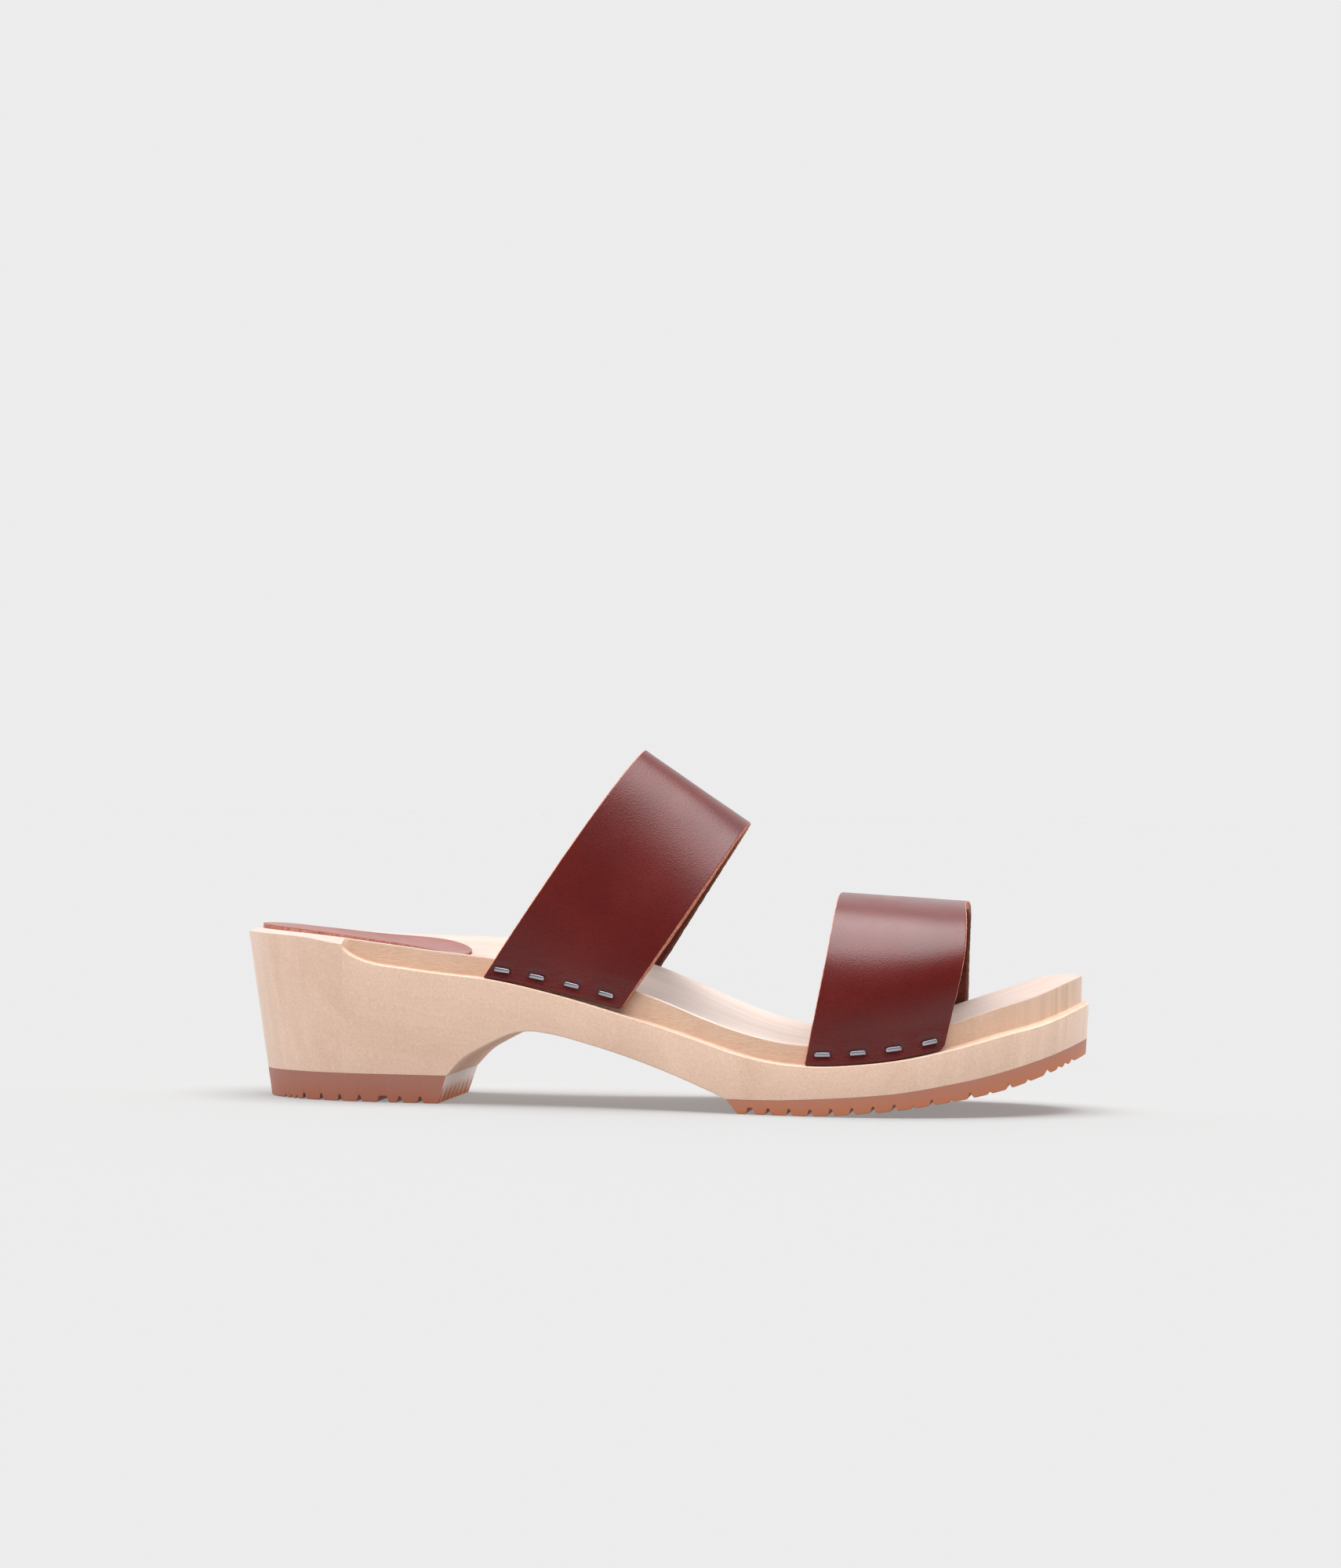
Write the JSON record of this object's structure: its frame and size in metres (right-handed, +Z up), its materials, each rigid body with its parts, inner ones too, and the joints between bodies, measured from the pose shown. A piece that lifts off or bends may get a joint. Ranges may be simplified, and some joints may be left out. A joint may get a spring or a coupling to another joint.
{
  "type": "clog sandal",
  "caption": "Open clog sandal: carved wooden sole with a block heel and ribbed rubber treads, wide leather straps stapled into a ledge round it, and a leather heel pad.",
  "frame": {"origin": "on the floor under the middle of the sole's outline", "axes": "+X to the toe, +Y to the medial (big-toe) side of this right shoe, +Z up"},
  "size_m": [0.248, 0.0875, 0.1036],
  "materials": {
    "alder_wood": "sanded, unvarnished",
    "gum_rubber": "matt moulded",
    "oxblood_leather": "smooth waxed grain",
    "pad_leather": "smooth waxed grain",
    "staple_steel": "bright drawn wire"
  },
  "bodies": {
    "root": {"wood_sole": "alder_wood", "heel_rubber": "gum_rubber", "forefoot_rubber": "gum_rubber", "heel_pad": "pad_leather", "strap_instep": "oxblood_leather", "strap_toe": "oxblood_leather", "staple_instep_lateral_1": "staple_steel", "staple_instep_lateral_2": "staple_steel", "staple_instep_lateral_3": "staple_steel", "staple_instep_lateral_4": "staple_steel", "staple_instep_medial_1": "staple_steel", "staple_instep_medial_2": "staple_steel", "staple_instep_medial_3": "staple_steel", "staple_instep_medial_4": "staple_steel", "staple_toe_lateral_1": "staple_steel", "staple_toe_lateral_2": "staple_steel", "staple_toe_lateral_3": "staple_steel", "staple_toe_lateral_4": "staple_steel", "staple_toe_medial_1": "staple_steel", "staple_toe_medial_2": "staple_steel", "staple_toe_medial_3": "staple_steel", "staple_toe_medial_4": "staple_steel"}
  },
  "joints": []
}
